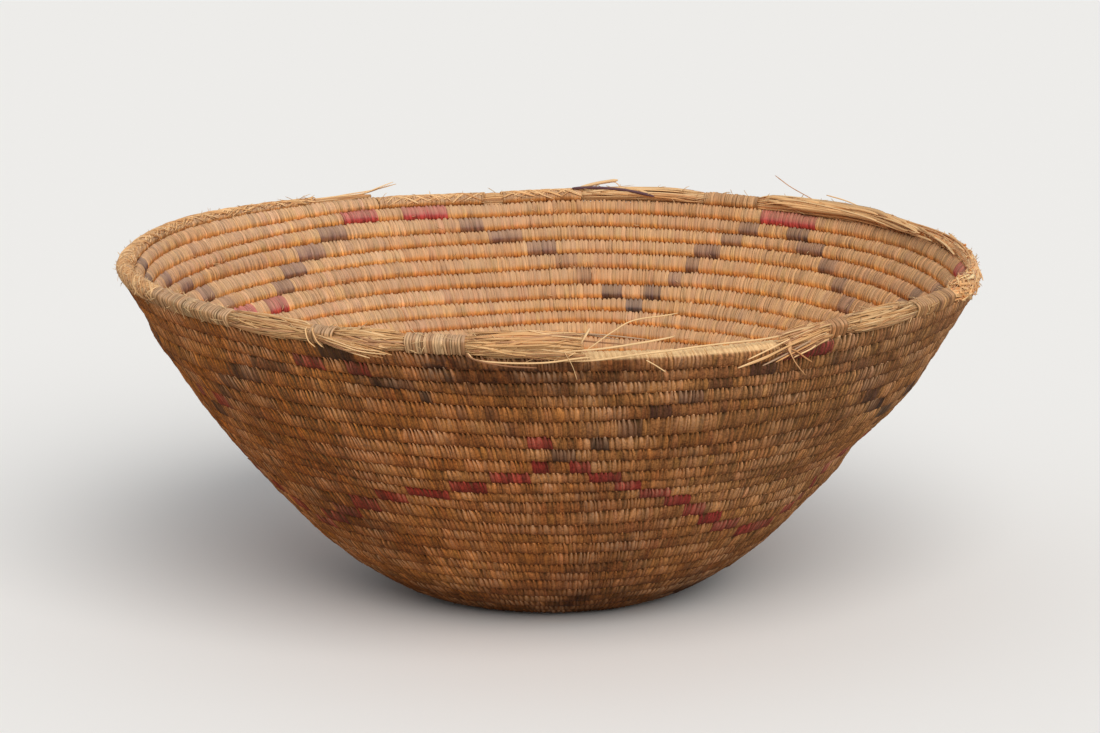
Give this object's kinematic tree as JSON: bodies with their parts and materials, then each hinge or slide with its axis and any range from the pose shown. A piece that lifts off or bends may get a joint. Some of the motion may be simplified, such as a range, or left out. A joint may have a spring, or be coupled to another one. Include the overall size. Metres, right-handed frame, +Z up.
{
  "type": "coiled harvesting basket",
  "caption": "Wide round bowl-shaped harvesting basket of sewn grass coil, with a stepped dyed pattern and a worn rim whose binding has broken away.",
  "frame": {"origin": "the middle of the outline seen from above, on the surface that the flat foot stands on", "axes": "+Z up; -Y towards whoever sees the stepped red figure, as in the picture; +X to that viewer's right"},
  "size_m": [0.6006, 0.594, 0.2374],
  "materials": {
    "sewn_coil": "dry grass coil sewn with leaf strip, natural, dull red and brown-purple, dusty and worn",
    "bare_stems": "bare dry grass stems, smooth and pale, broken at the ends",
    "leaf_wrap": "strip of leaf wound tight, worn at the rim"
  },
  "bodies": {
    "root": {"coil_start": "sewn_coil", "coil_round_01": "sewn_coil", "coil_round_02": "sewn_coil", "coil_round_03": "sewn_coil", "coil_round_04": "sewn_coil", "coil_round_05": "sewn_coil", "coil_round_06": "sewn_coil", "coil_round_07": "sewn_coil", "coil_round_08": "sewn_coil", "coil_round_09": "sewn_coil", "coil_round_10": "sewn_coil", "coil_round_11": "sewn_coil", "coil_round_12": "sewn_coil", "coil_round_13": "sewn_coil", "coil_round_14": "sewn_coil", "coil_round_15": "sewn_coil", "coil_round_16": "sewn_coil", "coil_round_17": "sewn_coil", "coil_round_18": "sewn_coil", "coil_round_19": "sewn_coil", "coil_round_20": "sewn_coil", "coil_round_21": "sewn_coil", "coil_round_22": "sewn_coil", "coil_round_23": "sewn_coil", "coil_round_24": "sewn_coil", "coil_round_25": "sewn_coil", "coil_round_26": "sewn_coil", "coil_round_27": "sewn_coil", "coil_round_28": "sewn_coil", "coil_round_29": "sewn_coil", "coil_round_30": "sewn_coil", "coil_round_31": "sewn_coil", "coil_round_32": "sewn_coil", "coil_round_33": "sewn_coil", "rim_bundle": "bare_stems", "rim_wrap_back_left": "leaf_wrap", "rim_wrap_back": "leaf_wrap", "rim_wrap_back_right": "leaf_wrap", "rim_wrap_right": "leaf_wrap", "rim_wrap_front_right": "leaf_wrap", "rim_wrap_front": "leaf_wrap", "rim_wrap_front_left": "leaf_wrap", "rim_wrap_left": "leaf_wrap", "loose_stem_front_1": "bare_stems", "loose_stem_front_2": "bare_stems", "loose_stem_front_3": "bare_stems", "loose_stem_front_4": "bare_stems", "tuft_stem_1": "bare_stems", "tuft_stem_2": "bare_stems", "tuft_stem_3": "bare_stems", "tuft_stem_4": "bare_stems", "tuft_stem_5": "bare_stems", "frayed_stem_right_1": "bare_stems", "frayed_stem_right_2": "bare_stems", "frayed_stem_right_3": "bare_stems", "loose_stem_back_1": "bare_stems", "loose_stem_back_2": "bare_stems", "frayed_stem_end_1": "bare_stems", "frayed_stem_end_2": "bare_stems"}
  },
  "joints": []
}
